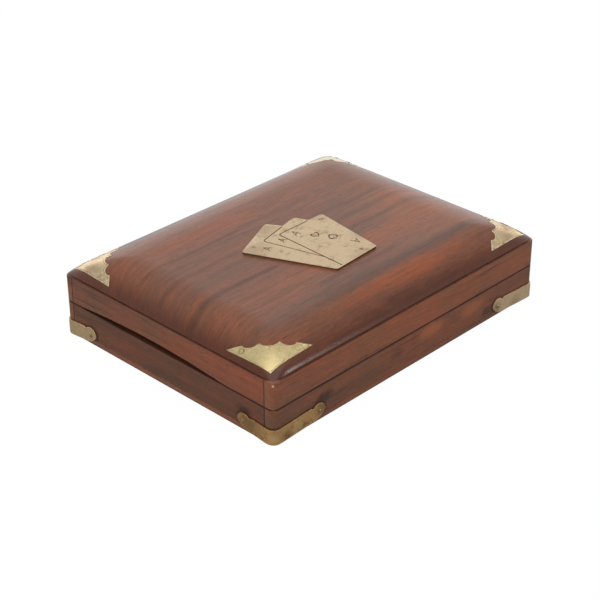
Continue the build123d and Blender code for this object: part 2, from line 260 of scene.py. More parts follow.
def makeGrainGroup():
    # rosewood figure; the vector is in millimetres with the grain along X, and the growth layers lean
    look = grainLook
    group, given, result = newGroup(
        "rosewoodGrain", ["Lean", "Streak Amount", "Redness", "Fineness"], ["Vector"],
        ["Dark", "Grey Brown", "Red Brown", "Orange"], ["Colour", "Gloss Loss", "Height"],
    )
    lean, streaking, redness, fineness, position, dark, greyBrown, redBrown, orange = given

    def figure(name, vector):
        return stretchedCloud(vector, *look["noise"][name])

    x, y, z = splitVector(position)
    leaned = less(y, times(z, lean))
    depth = times(z, look["through"])
    # the layers wander slowly along the board
    straight = joinVector(x, leaned, depth)
    tremor = centred(figure("tremor", straight), look["sway"][1])
    sway = centred(figure("drift", straight), look["sway"][0], tremor)
    layer = plus(leaned, sway)
    wood = joinVector(x, layer, depth)
    broad, band, vein = (figure(name, wood) for name in ("broad", "band", "vein"))
    fibre, fleck, pore = (figure(name, wood) for name in ("fibre", "fleck", "pore"))
    # from grey brown to red brown, with orange flecks
    hue = centred(broad, look["hueSwing"][0], redness)
    hue = remap(centred(band, look["hueSwing"][1], hue), 0.0, 1.0)
    base = blendColour(hue, greyBrown, redBrown)
    share = times(remap(hue, *look["fleckHue"]), fineness)
    flecked = paintOver(fade(fleck, *look["flecks"]), share, base, orange)
    # soft dark streaks where the bands are darkest, and hair lines
    darkness = larger(fade(band, *look["streaks"]), fade(vein, *look["hairs"]))
    streaked = paintOver(darkness, streaking, flecked, dark)
    texture = centred(fibre, look["texture"][0], centred(vein, look["texture"][1]))
    level = timesPlus(texture, fineness, look["level"])
    fibred = multiplied(streaked, grey(level))
    # open pores, short and thin
    pores = fade(pore, *look["pores"])
    onFibres, inPores = look["glossLoss"]
    glossLoss = timesPlus(fibre, onFibres, times(pores, inPores))
    height = less(times(fibre, look["fibreHeight"]), pores)
    connect(blendColour(pores, fibred, dark), result["Colour"])
    connect(glossLoss, result["Gloss Loss"])
    connect(height, result["Height"])
    return group


def makeStreakGroup():
    # one soft dark streak that follows a growth layer between two places along the board
    labels = ["Along", "Layer", "Place", "Width", "Start", "End", "Fade"]
    group, (along, layer, middle, width, start, end, length), result = newGroup("darkStreak", labels)
    off = sizeOf(less(layer, middle))
    core = fade(over(off, width), 1.0, 0.0)
    rising = over(less(along, start), length)
    falling = over(less(end, along), length)
    inside = fade(smaller(rising, falling), -0.5, 0.5)
    slow = times(along, 0.07)
    texture = joinVector(slow, layer, middle)
    patchy = remap(cloud(texture, 1.0, 3.0, 0.6), 0.3, 0.6, 0.45, 1.0)
    whole = times(core, inside)
    connect(times(whole, patchy), result["Mask"])
    return group


def makeEdgeGroup():
    # how near a point of a board is to one of the board's edges, from its own box
    numbers, vectors = ["Width", "Raggedness"], ["Position", "Low", "High"]
    group, given, result = newGroup("boardEdges", numbers, vectors)
    width, raggedness, position, low, high = given
    below = splitVector(vectorCalc("SUBTRACT", position, low))
    above = splitVector(vectorCalc("SUBTRACT", high, position))
    x, y, z = (smaller(below[i], above[i]) for i in range(3))
    # the second smallest of the three is the distance to an edge, since the smallest is to a face
    second = larger(smaller(x, y), smaller(larger(x, y), z))
    frayed = cloud(position, 0.35, 4.0, 0.65)
    ragged = remap(frayed, 0.38, 0.68, 1.0, raggedness)
    reach = times(width, ragged)
    connect(fade(over(second, reach), 1.0, 0.3), result["Mask"])
    return group


def makeSpotGroup():
    # a ragged spot on a surface: a stain, a pale spot or the dirt round a pin
    numbers, vectors = ["Radius", "Core", "Raggedness"], ["Position", "Centre", "Stretch"]
    group, given, result = newGroup("raggedSpot", numbers, vectors)
    radius, core, raggedness, position, centre, stretch = given
    away = vectorCalc("SUBTRACT", position, centre)
    length = vectorCalc("LENGTH", vectorCalc("MULTIPLY", away, stretch))
    distance = over(length, radius)
    frayed = stretchedCloud(position, (0.35, 0.35, 0.35), 4.0, 0.65)
    shifted = centred(frayed, raggedness, distance)
    connect(fade(shifted, 1.0, core), result["Mask"])
    return group


mountDirtShape = {
    # millimetres along an arm from the box corner, and up from the table
    "top": (7.0, 7.8),              # of the strip, at the corner and at the lobe
    "stripStart": 4.0,
    "stripEnd": 8.2,                # back from the tip of the arm
    "stripFade": (-5.0, -7.0),
    "above": (1.1, 0.1),            # over the top: none at, all at
    "lobe": (3.4, 5.2),             # its centre back from the tip, and up
    "lobeFade": (5.4, 3.4),
}


def makeMountDirtGroup():
    # dirt gathered along the top of a brass mount and round its lobe
    shape = mountDirtShape
    group, (reach, height, arm), result = newGroup("mountDirt", ["Reach", "Height", "Arm"])
    lobeStart = less(arm, shape["stripEnd"])
    top = remap(reach, shape["stripStart"], lobeStart, *shape["top"])
    overTop = less(height, top)
    along = remap(less(reach, arm), *shape["stripFade"])
    strip = times(fade(overTop, *shape["above"]), along)
    lobeBack, lobeUp = shape["lobe"]
    sideways = less(reach, less(arm, lobeBack))
    upward = less(height, lobeUp)
    distance = vectorCalc("LENGTH", joinVector(sideways, upward, 0.0))
    dirt = larger(strip, fade(distance, *shape["lobeFade"]))
    patchy = cloud(joinVector(reach, height, arm), 0.5, 3.0, 0.6)
    mask = times(dirt, remap(patchy, 0.3, 0.6, 0.5, 1.0))
    connect(mask, result["Mask"])
    return group


agedBrass = {
    # noise: scale per millimetre, detail, roughness
    "blotch": (0.16, 5.0, 0.62),
    "mottle": (0.55, 4.0, 0.65),
    "speck": (1.7, 3.0, 0.6),
    "scratches": [
        # turn in degrees, how fast they change along and across, none at, all at
        (0, (0.25, 7.0, 7.0), 0.58, 0.7),
        (63, (0.2, 9.0, 9.0), 0.6, 0.72),
    ],
    "scratchAmount": 0.5,
    "tarnished": (0.27, 0.17, 0.08, 1),
    "roughness": (0.3, 0.46),
    "dullRoughness": 0.22,
    "brightness": (0.82, 1.14),
    "relief": 0.03 * mm,
}


def makeBrassGroup():
    # old brass: blotches of tarnish, specks and fine scratches; the vector is in millimetres
    group, given, result = newGroup(
        "agedBrass", ["Tarnish", "Scratches"], ["Vector"], ["Clean", "Tarnished", "Rosy"],
        ["Colour", "Roughness", "Height"],
    )
    amount, scratching, vector, clean, tarnished, rosy = given
    patterns = ("blotch", "mottle", "speck")
    blotch, mottle, speck = (cloud(vector, *agedBrass[name]) for name in patterns)
    threshold = less(0.74, times(amount, 0.3))
    patch = timesPlus(mottle, 0.45, times(blotch, 0.6))
    tarnish = fade(patch, threshold, plus(threshold, 0.2))
    specks = times(fade(speck, 0.62, 0.74, 0.55), amount)
    scores = []
    for turn, stretch, none, full in agedBrass["scratches"]:
        turned = put(
            group, "VectorRotate", {"rotation_type": "Z_AXIS"},
            {"Vector": vector, "Angle": math.radians(turn)},
        ).outputs[0]
        scores.append(remap(stretchedCloud(turned, stretch), none, full))
    scratches = times(larger(*scores), scratching)
    dull = larger(times(tarnish, amount), specks)
    colour = blendColour(fade(mottle, 0.42, 0.62, 0.6), clean, rosy)
    colour = blendColour(dull, colour, tarnished)
    colour = paintOver(scratches, 0.35, colour, tarnished)
    mixed = timesPlus(speck, 0.5, times(mottle, 0.5))
    level = remap(mixed, 0.35, 0.65, *agedBrass["brightness"])
    connect(multiplied(colour, grey(level)), result["Colour"])
    rough = remap(mottle, 0.3, 0.7, *agedBrass["roughness"])
    connect(timesPlus(dull, agedBrass["dullRoughness"], rough), result["Roughness"])
    pitted = timesPlus(mottle, 1.5, times(speck, 0.3))
    connect(timesPlus(scratches, -0.5, pitted), result["Height"])
    return group


grainGroup = makeGrainGroup()
streakGroup = makeStreakGroup()
edgeGroup = makeEdgeGroup()
spotGroup = makeSpotGroup()
mountDirtGroup = makeMountDirtGroup()
brassGroup = makeBrassGroup()
print("shader groups made")


# materials
def dress(piece, material):
    piece.data.materials.clear()
    piece.data.materials.append(material)


rosewood = {
    "dark": (0.050, 0.022, 0.015, 1),
    "greyBrown": (0.195, 0.082, 0.048, 1),
    "redBrown": (0.295, 0.094, 0.042, 1),
    "orange": (0.50, 0.155, 0.050, 1),
    "ember": (0.46, 0.105, 0.028, 1),
    "grime": (0.028, 0.012, 0.008, 1),
    # the colour of the small pale spot at the lid's near corner
    "bareWood": (0.62, 0.47, 0.38, 1),
    "grimeWidth": 0.42,     # millimetres
    "wallEdges": (1.6, 0.68),           # raggedness and amount of the grime along the edges
    "bottomEdges": (1.8, 0.85),
    "lidEdges": (1.6, 0.8),
    "mountDirt": 0.75,
    "warmth": (0.86, 1.14),
    "warmthScale": 0.035,   # per millimetre
    "roughness": (0.30, 0.44),
    "polishedShare": 0.6,   # of that roughness, where the finish is thickest
    "poreDepth": 0.03 * mm,
    "specular": 0.34,
}
turnOf = {"X": (0, 0, 0), "Y": (0, 0, math.radians(-90))}


def grainOf(position, board):
    # every board has its own place in the figure, by its seed
    vector = put(position.id_data, "Mapping", {"vector_type": "POINT"}, {
        "Vector": position, "Location": (37.0 * board["seed"], 53.0 * board["seed"], 0.0),
        "Rotation": turnOf[board["along"]],
    }).outputs[0]
    return place(grainGroup, {
        "Vector": vector, "Lean": board["lean"], "Streak Amount": board["streaks"],
        "Redness": board["redness"], "Fineness": board["fineness"],
        "Dark": rosewood["dark"], "Grey Brown": rosewood["greyBrown"],
        "Red Brown": rosewood["redBrown"], "Orange": rosewood["orange"],
    })


def spotMask(position, centre, radius, core, ragged, stretch=(1, 1, 1)):
    return place(spotGroup, {
        "Position": position, "Centre": centre, "Radius": radius, "Core": core, "Raggedness": ragged,
        "Stretch": stretch,
    })["Mask"]


def addEdgeGrime(position, colour, box, look):
    ragged, amount = look
    edge = place(edgeGroup, {
        "Position": position, "Low": box[0], "High": box[1], "Width": rosewood["grimeWidth"],
        "Raggedness": ragged,
    })["Mask"]
    return paintOver(edge, amount, colour, rosewood["grime"])


def spot(centre, radius, amount, stretch=(1, 1, 1), paint="grime", core=0.2, ragged=0.8):
    return (centre, radius, core, ragged, stretch), amount, paint


def addSpots(position, colour, spots):
    for shape, amount, paint in spots:
        colour = paintOver(spotMask(position, *shape), amount, colour, rosewood[paint])
    return colour


def finishWood(shader, grain, colour, specular=rosewood["specular"], rimFalloff=None):
    rough = remap(grain["Gloss Loss"], 0.1, 0.9, *rosewood["roughness"])
    if rimFalloff is not None:
        rough = times(rough, remap(rimFalloff, 0, 1, 1, rosewood["polishedShare"]))
    coatShader(shader, colour, rough, grain["Height"], rosewood["poreDepth"], Specular_IOR_Level=specular)


def woodMaterial(name, board, box):
    material, shader, position = newMaterial(name)
    grain = grainOf(position, board)
    # the whole board is darkened by its painted shade
    shade = board["shade"]
    shifted = vectorCalc("ADD", position, (9.0 * board["seed"], 0.0, 4.0))
    cool, warm = (shade * level for level in rosewood["warmth"])
    clouded = remap(cloud(shifted, rosewood["warmthScale"]), 0.35, 0.65, cool, warm)
    colour = multiplied(grain["Colour"], joinVector(clouded, shade, shade))
    colour = addEdgeGrime(position, colour, box, rosewood["wallEdges"])
    if "arm" in board:
        x, y, z = splitVector(position)
        lengthwise = board["along"] == "X"
        half = boxSize["halfLength" if lengthwise else "halfDepth"]
        reach = less(half, sizeOf(x if lengthwise else y))
        dirt = place(mountDirtGroup, {"Reach": reach, "Height": z, "Arm": board["arm"]})["Mask"]
        colour = paintOver(dirt, rosewood["mountDirt"], colour, rosewood["grime"])
    colour = addSpots(position, colour, board["spots"])
    finishWood(shader, grain, colour)
    return material


def bottomBoardMaterial(name, box):
    # its sides carry on the figure of the walls that stand on it
    material, shader, position = newMaterial(name)
    x, y, z = splitVector(position)
    lengthwise = grainOf(position, boards["base_front_wall"])
    crosswise = grainOf(position, boards["base_left_wall"])
    mitre = plus(sizeOf(y), boxSize["halfLength"] - boxSize["halfDepth"])
    beyond = less(sizeOf(x), mitre)
    onEnd = times(remap(beyond, -0.1, 0.1), remap(z, 0.2, 0.4))
    colour = blendColour(onEnd, lengthwise["Colour"], crosswise["Colour"])
    colour = addEdgeGrime(position, colour, box, rosewood["bottomEdges"])
    finishWood(shader, lengthwise, colour)
    return material


lidFigure = {
    "along": "X", "seed": 8, "streaks": 0.2, "redness": 0.52, "lean": 1.15, "fineness": 0.8,
    "crown": 36.8,          # millimetres
    "wander": 3.2,
    "path": (0.035, 0.03, 0.0),         # how fast the layers wander, per millimetre
    "ribbon": (0.03, 0.55, 2.0),        # along, across, and a place of its own in the noise
    "ribbons": (0.36, 0.60, 0.25, 1.0),
    "specular": 0.38,
    # the top grows darker toward the rim: the colour it darkens to, how much, where that begins and ends,
    # and how far it wanders
    "polish": (0.075, 0.022, 0.014, 1),
    "polishAmount": 0.78,
    "polishFall": (36.0, 30.2),         # millimetres, where it begins and where it is deepest
    "polishWander": 1.5,
    "darkStreaks": [
        # place across the board, width, start, end, fade, depth of tone
        (26.6, 1.9, -75, -10, 12, 0.42),
        (28.4, 2.0, -14, 30, 12, 0.32),
        (12.2, 2.4, -80, -28, 12, 0.42),
        (11.4, 2.2, 22, 62, 14, 0.34),
        (2.0, 1.8, 20, 70, 18, 0.22),
        (-8.4, 2.8, -81, -25, 10, 0.58),
        (-7.0, 2.5, 21, 76, 14, 0.40),
        (-19.0, 1.8, -60, -18, 14, 0.22),
        (-32.8, 2.8, -24, 24, 12, 0.40),
        (-41.0, 4.5, -30, 66, 20, 0.42),
        (-53.4, 1.8, -10, 8, 8, 0.36),
        (44.0, 2.0, -50, 40, 20, 0.26),
        (52.0, 1.8, -20, 70, 20, 0.22),
    ],
    "zones": [
        # a warmer or greyer part of the board: centre, stretch, radius, paint, amount
        ((12, -50.0, 33), (0.12, 1.0, 0), 8.5, "ember", 0.8),
        ((-24, 36.0, 36), (0.16, 1.0, 0), 6.5, "ember", 0.4),
        ((58, -6.0, 35), (0.45, 0.3, 0), 13.0, "orange", 0.4),
        ((6, -22.0, 36), (0.2, 0.9, 0), 9.0, "ember", 0.35),
        ((-52, 4.0, 36), (0.42, 0.55, 0), 20.0, "greyBrown", 0.40),
    ],
}


def lidTopMaterial(name, box):
    look = lidFigure
    material, shader, position = newMaterial(name)
    grain = grainOf(position, look)
    x, y, z = splitVector(position)
    risen = times(less(z, look["crown"]), look["lean"])
    path = stretchedCloud(position, look["path"])
    layer = plus(less(y, risen), centred(path, look["wander"]))
    colour = grain["Colour"]
    # the warm zones break up into ribbons along the grain
    along, across, apart = look["ribbon"]
    ribbonPlace = joinVector(times(x, along), times(layer, across), apart)
    ribbons = remap(cloud(ribbonPlace, 1.0, 3.0, 0.6), *look["ribbons"], True)
    for centre, stretch, radius, paint, amount in look["zones"]:
        mask = spotMask(position, centre, radius, 0.0, 0.9, stretch)
        mask = times(mask, ribbons)
        colour = paintOver(mask, amount, colour, rosewood[paint])
    darkest = 0.0
    for across, width, start, end, length, depth in look["darkStreaks"]:
        mask = place(streakGroup, {
            "Along": x, "Layer": layer, "Place": across, "Width": width,
            "Start": start, "End": end, "Fade": length,
        })["Mask"]
        darkest = larger(darkest, times(mask, depth))
    colour = blendColour(darkest, colour, rosewood["dark"])
    # old polish has darkened toward the rim
    # the colour grows darker toward the rim as the surface falls from the crown, and the finish is
    # smoother there
    rimFalloff = fade(centred(path, look["polishWander"], z), *look["polishFall"])
    colour = paintOver(rimFalloff, look["polishAmount"], colour, look["polish"])
    colour = addEdgeGrime(position, colour, box, rosewood["lidEdges"])
    colour = addSpots(position, colour, [cornerStain, nearCornerPaleSpot])
    finishWood(shader, grain, colour, look["specular"], rimFalloff)
    return material


jointGrime = {"crumb": 1.8, "roughness": (0.55, 0.8), "specular": 0.2, "relief": 0.05 * mm}


def grimeMaterial():
    look = jointGrime
    material, shader, position = newMaterial("joint_grime")
    crumbs = cloud(position, look["crumb"], 3.0, 0.6)
    colour = blendColour(remap(crumbs, 0.35, 0.65), rosewood["grime"], rosewood["dark"])
    rough = remap(crumbs, 0.3, 0.7, *look["roughness"])
    coatShader(shader, colour, rough, crumbs, look["relief"], Specular_IOR_Level=look["specular"])
    return material


def brassOf(clean, rosy, tarnish, **more):
    # a look of brass: its colour, a redder one that shows through, how much of it is tarnished
    return {"clean": clean, "rosy": rosy, "tarnish": tarnish, **more}


def brassMaterial(name, look, seed, top=0.0):
    material, shader, position = newMaterial(name)
    brass = place(brassGroup, {
        "Vector": vectorCalc("ADD", position, (17.0 * seed, 31.0 * seed, 11.0 * seed)),
        "Tarnish": look["tarnish"], "Scratches": agedBrass["scratchAmount"],
        "Clean": look["clean"], "Rosy": look["rosy"],
        "Tarnished": look.get("tarnished", agedBrass["tarnished"]),
    })
    colour = brass["Colour"]
    if "sunkenDirt" in look:
        # settled in the engraved lines below the piece's top
        shallow, deep, amount, paint = look["sunkenDirt"]
        height = splitVector(position)[2]
        colour = blendColour(fade(height, top - shallow, top - deep, amount), colour, paint)
    for kind, tint in (("stains", "tarnished"), ("rubbed", "bright"), ("pinDirt", "dark")):
        for centre, radius, amount in look.get(kind, ()):
            mask = spotMask(position, centre, radius, 0.1, 0.8)
            colour = paintOver(mask, amount, colour, look[tint])
    rough = plus(brass["Roughness"], look.get("dullness", 0.0))
    coatShader(shader, colour, rough, brass["Height"], agedBrass["relief"], Metallic=1.0)
    return material


# pieces shaped from the CAD solids
def smoothByAngle(mesh, angle):
    mesh.polygons.foreach_set("use_smooth", [True] * len(mesh.polygons))
    mesh.set_sharp_from_angle(angle=math.radians(angle))


def applyModifiers(piece):
    bpy.context.view_layer.update()
    shaped = piece.evaluated_get(bpy.context.evaluated_depsgraph_get())
    mesh = bpy.data.meshes.new_from_object(shaped)
    piece.modifiers.clear()
    old = piece.data
    piece.data = mesh
    bpy.data.meshes.remove(old)


def easeEdges(piece, width, segments, angle):
    # the eased edges take the piece's last material
    ease = piece.modifiers.new("ease", "BEVEL")
    ease.width = width
    ease.segments = segments
    ease.limit_method = "ANGLE"
    ease.angle_limit = math.radians(angle)
    ease.material = len(piece.data.materials) - 1
    applyModifiers(piece)
    smoothByAngle(piece.data, 50)
    weigh = piece.modifiers.new("weigh", "WEIGHTED_NORMAL")
    weigh.keep_sharp = True
    applyModifiers(piece)


def copyOf(nodeName, suffix, body, materials):
    # a welded copy of a CAD piece that stands in for it in the picture
    work = bmesh.new()
    work.from_mesh(nodes[nodeName].data)
    bmesh.ops.remove_doubles(work, verts=work.verts, dist=0.001 * mm)
    for face in work.faces:
        face.material_index = 0
    mesh = bpy.data.meshes.new(nodeName + suffix)
    for material in materials:
        mesh.materials.append(material)
    piece = newObject(nodeName + suffix, mesh)
    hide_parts(nodeName)
    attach(piece, body)
    return piece, work


def softened(nodeName, width, body, material):
    # the same board or strip with its edges eased
    piece, work = copyOf(nodeName, "_eased", body, [material])
    bmesh.ops.dissolve_limit(
        work, angle_limit=math.radians(0.6), verts=work.verts, edges=work.edges, delimit={"NORMAL"},
    )
    work.to_mesh(piece.data)
    work.free()
    easeEdges(piece, width, 2, 28)
    return piece


lidShape = {
    # millimetres, as in the part's source
    "step": 29.0,
    "rise": 7.8,
    "shoulder": 24.0,
    "edgeInset": 0.5,
    "lip": 1.1,
    "roll": 3.0,
    "rollDrop": 0.46,
    "blend": 3.0,
}
curving = {
    "rounds": 6,
    "onSurface": 0.12 * mm,         # how near the pillow surface a point lies that is on it
    "facingUp": 0.3,                # least upward part of the normal of a face on top
    "rolled": 3.2,                  # millimetres in from the lid's edge
    "smoothedWithin": 0.13 * mm,
    "smoothedAbove": 0.35,
    "slopeStep": 0.1 * mm,
}


def insetOf(x, y):
    # how far in from the lid's ends and from its sides a point lies, in millimetres
    return boxSize["halfLength"] - abs(x) / mm, boxSize["halfDepth"] - abs(y) / mm


def lidHeight(x, y):
    # height of the pillow surface over a point of the lid, all in metres
    shape = lidShape
    reach = shape["shoulder"] - shape["edgeInset"]
    fall = shape["rise"] - shape["lip"]
    radius = (reach ** 2 + fall ** 2) / (2 * fall)

    def drop(inset):
        run = max(0.0, shape["shoulder"] - inset)
        roll = max(0.0, (shape["roll"] - inset) / (shape["roll"] - shape["edgeInset"]))
        return radius - math.sqrt(max(0.0, radius ** 2 - run ** 2)) + shape["rollDrop"] * roll ** 2

    ends, sides = (drop(inset) ** shape["blend"] for inset in insetOf(x, y))
    return (shape["step"] + shape["rise"] - (ends + sides) ** (1 / shape["blend"])) * mm


def onPillow(vert, lift, within=curving["onSurface"]):
    return abs(vert.co.z - lidHeight(vert.co.x, vert.co.y) - lift) < within


def followSurface(piece, lift, skipped):
    # normals of the pillow surface itself, so that highlights run over its facets without a break
    mesh = piece.data
    step = curving["slopeStep"]
    near = [onPillow(vert, lift, curving["smoothedWithin"]) for vert in mesh.vertices]
    normals = [corner.vector.copy() for corner in mesh.corner_normals]
    for face in mesh.polygons:
        flat = face.normal.z >= curving["smoothedAbove"] and face.material_index != skipped
        if not flat or not all(near[i] for i in face.vertices):
            continue
        for loop in face.loop_indices:
            x, y, z = mesh.vertices[mesh.loops[loop].vertex_index].co
            slopeX = (lidHeight(x + step, y) - lidHeight(x - step, y)) / (2 * step)
            slopeY = (lidHeight(x, y + step) - lidHeight(x, y - step)) / (2 * step)
            normals[loop] = Vector((-slopeX, -slopeY, 1)).normalized()
    mesh.normals_split_custom_set(normals)


def cutFiner(work, shape):
    # shorter edges on the pillow surface, and the shortest where it rolls over at the lid's edge
    def tooLong(edge):
        x, y, z = (edge.verts[0].co + edge.verts[1].co) / 2
        rolled = min(insetOf(x, y)) < curving["rolled"]
        return edge.calc_length() > shape["atEdge" if rolled else "longest"]

    for _ in range(curving["rounds"]):
        top = {v for v in work.verts if onPillow(v, shape["lift"])}
        long = [e for e in work.edges if e.verts[0] in top and e.verts[1] in top and tooLong(e)]
        if not long:
            break
        cut = bmesh.ops.subdivide_edges(work, edges=long, cuts=1)
        for vert in (g for g in cut["geom_inner"] if isinstance(g, bmesh.types.BMVert)):
            if vert.link_faces and all(f.normal.z > curving["facingUp"] for f in vert.link_faces):
                vert.co.z = lidHeight(vert.co.x, vert.co.y) + shape["lift"]
        bmesh.ops.triangulate(work, faces=work.faces)
        flat = [
            e for e in work.edges
            if len(e.link_faces) == 2 and all(f.normal.z > curving["facingUp"] for f in e.link_faces)
        ]
        bmesh.ops.beautify_fill(work, faces=list({f for e in flat for f in e.link_faces}), edges=flat)


def insetRim(work, shape):
    # a brighter rim round the field, partly rubbed brass and partly a painted highlight of the plate's
    # edge, and a dark line between them
    field = [
        f for f in work.faces
        if all(onPillow(v, shape["lift"]) for v in f.verts) and f.normal.z > curving["facingUp"]
    ]
    pins = [vert.co for vert in nodes["inlay_pins"].data.vertices]
    rings = [(2, shape["rim"], 0.0, True), (1, shape["groove"], -shape["depth"], False)]
    for index, width, depth, even in rings:
        ring = bmesh.ops.inset_region(
            work, faces=field, thickness=width, depth=depth, use_even_offset=even,
        )
        for face in ring["faces"]:
            middle = face.calc_center_median()
            if min((middle - pin).length for pin in pins) > shape["clearOfPins"]:
                face.material_index = index


def refined(nodeName, body, materials, shape):
    # a piece that follows the pillow surface, cut finely enough to curve with it
    piece, work = copyOf(nodeName, "_curved", body, materials)
    cutFiner(work, shape)
    if "rim" in shape:
        insetRim(work, shape)
    work.to_mesh(piece.data)
    work.free()
    easeEdges(piece, shape["bevel"], 1, 35)
    followSurface(piece, shape["lift"], 1 if "rim" in shape else None)
    return piece


# wooden boards; places are in millimetres
cornerStain = spot((-82.5, 63, 28), 7.0, 0.75, ragged=0.9)
# a small pale spot where the lid's near corner meets the step
nearCornerPaleSpot = spot((-82.1, -62.6, 27.3), 0.7, 1.0, paint="bareWood", core=0.5)
# shade is a painted shade, the share of a board's colour that is kept: lower on the base walls, lowest on
# the left ends
plainBoard = {
    "streaks": 0.5, "redness": 0.5, "lean": 1.15, "fineness": 0.5, "shade": 1.0, "spots": (),
    "below": 0, "above": 0,     # how far the board carries on into its neighbour without an edge
}
boards = {
    "base_bottom": {"above": 5},
    "base_front_wall": {
        "along": "X", "seed": 1, "redness": 0.55, "arm": 29.0, "below": 5, "shade": 0.86,
        "spots": [
            spot((-54, -63.5, 10), 3.4, 0.7, (0.5, 1, 1)),
            spot((50, -63.5, 5), 3.0, 0.6, (0.6, 1, 1)),
            spot((12, -63.5, 12), 5.0, 0.5, (0.4, 1, 1), "orange"),
            spot((40, -63.5, 11), 5.0, 0.45, (0.4, 1, 1), "orange"),
            spot((-10, -63.5, 10), 3.0, 0.4, (0.5, 1, 1), "dark"),
        ],
    },
    "base_back_wall": {"along": "X", "seed": 2, "arm": 29.0, "below": 5, "shade": 0.86},
    "base_left_wall": {
        "along": "Y", "seed": 4, "streaks": 0.45, "redness": 0.45, "lean": -1.15,
        "arm": 20.0, "below": 5, "shade": 0.60,
        "spots": [spot((-83, -47, 9.5), 3.2, 0.7, (1, 0.5, 1))],
    },
    "base_right_wall": {"along": "Y", "seed": 5, "arm": 20.0, "below": 5, "shade": 0.86},
    "tray_rail": {"along": "X", "seed": 6, "streaks": 0.4, "lean": 0.8},
    "deck_divider": {"along": "Y", "seed": 7, "streaks": 0.4, "lean": 0.8},
    "lid_front_wall": {"along": "X", "seed": 1, "redness": 0.6, "spots": [nearCornerPaleSpot]},
    "lid_back_wall": {"along": "X", "seed": 2, "spots": [cornerStain]},
    "lid_left_wall": {
        "along": "Y", "seed": 4, "streaks": 0.45, "lean": -1.15, "shade": 0.80,
        "spots": [cornerStain, nearCornerPaleSpot],
    },
    "lid_right_wall": {"along": "Y", "seed": 5},
}
boards = {nodeName: {**plainBoard, **board} for nodeName, board in boards.items()}
boardEase = 0.3 * mm
topShape = {"lift": 0.0, "longest": 3.0 * mm, "atEdge": 0.9 * mm, "bevel": 0.35 * mm}


def boxInMm(nodeName, below=0, above=0):
    low, high = (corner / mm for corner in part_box(nodeName))
    return (low.x, low.y, low.z - below), (high.x, high.y, high.z + above)


for nodeName, board in boards.items():
    box = boxInMm(nodeName, board["below"], board["above"])
    if nodeName == "base_bottom":
        wood = bottomBoardMaterial("base_bottom_wood", box)
    else:
        wood = woodMaterial(nodeName + "_wood", board, box)
    piece = softened(nodeName, boardEase, "lid" if nodeName.startswith("lid") else "base", wood)
print("boards dressed")

topWood = lidTopMaterial("lid_top_wood", boxInMm("lid_top_board"))
topBoard = refined("lid_top_board", "lid", [topWood, grimeMaterial()], topShape)
print("lid curved:", len(topBoard.data.polygons), "faces")


